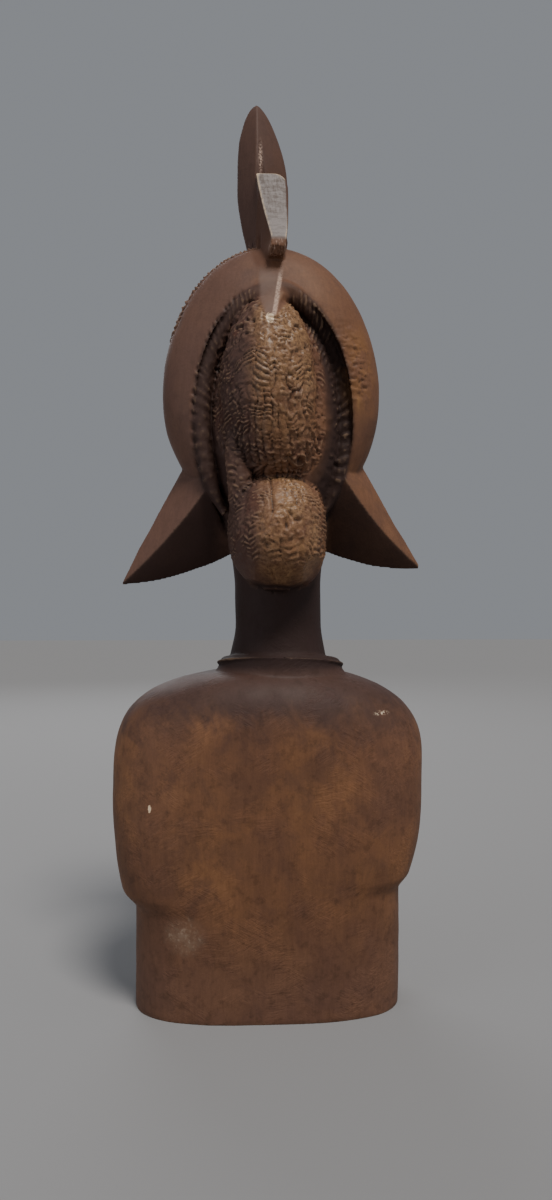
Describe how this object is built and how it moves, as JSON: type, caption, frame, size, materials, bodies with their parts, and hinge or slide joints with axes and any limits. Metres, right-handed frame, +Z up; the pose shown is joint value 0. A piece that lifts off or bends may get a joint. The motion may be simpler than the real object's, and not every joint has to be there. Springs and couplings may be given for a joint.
{
  "type": "carved wooden bust",
  "caption": "Table bust carved from one block of dark wood: braided crest and bun between smooth hair lobes, pointed side wings, broken topknot, collar, armless torso cut flat below.",
  "frame": {"origin": "middle of the flat underside that the bust stands on", "axes": "+Z up; the face looks along -Y and the braided back of the head along +Y; +X is the figure's left"},
  "size_m": [0.1542, 0.0986, 0.45],
  "materials": {
    "carved_wood": "dark stained and waxed, hand-rasped"
  },
  "bodies": {
    "root": {"carved_bust": "carved_wood"}
  },
  "joints": []
}
